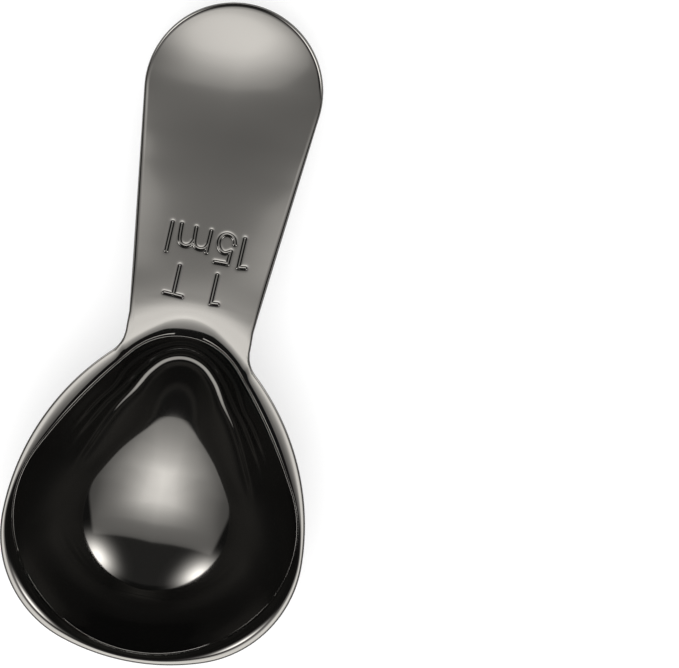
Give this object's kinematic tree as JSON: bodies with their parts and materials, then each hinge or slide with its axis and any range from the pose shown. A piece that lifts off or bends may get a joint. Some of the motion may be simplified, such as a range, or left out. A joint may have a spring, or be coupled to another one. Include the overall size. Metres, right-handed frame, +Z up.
{
  "type": "measuring spoon",
  "caption": "Tablespoon measure with a deep rounded-triangle bowl, a rounded-over rim and a short wide handle that droops and turns up at its tip.",
  "frame": {"origin": "middle of the small flat that the bowl stands on", "axes": "+Z up out of the bowl's mouth, square to the level rim; +Y from the bowl towards the tip of the handle; X across the bowl"},
  "size_m": [0.0454, 0.1, 0.0187],
  "materials": {
    "black_plastic": "high gloss as moulded"
  },
  "bodies": {
    "root": {"bowl": "black_plastic", "rim": "black_plastic", "neck": "black_plastic", "handle": "black_plastic"}
  },
  "joints": []
}
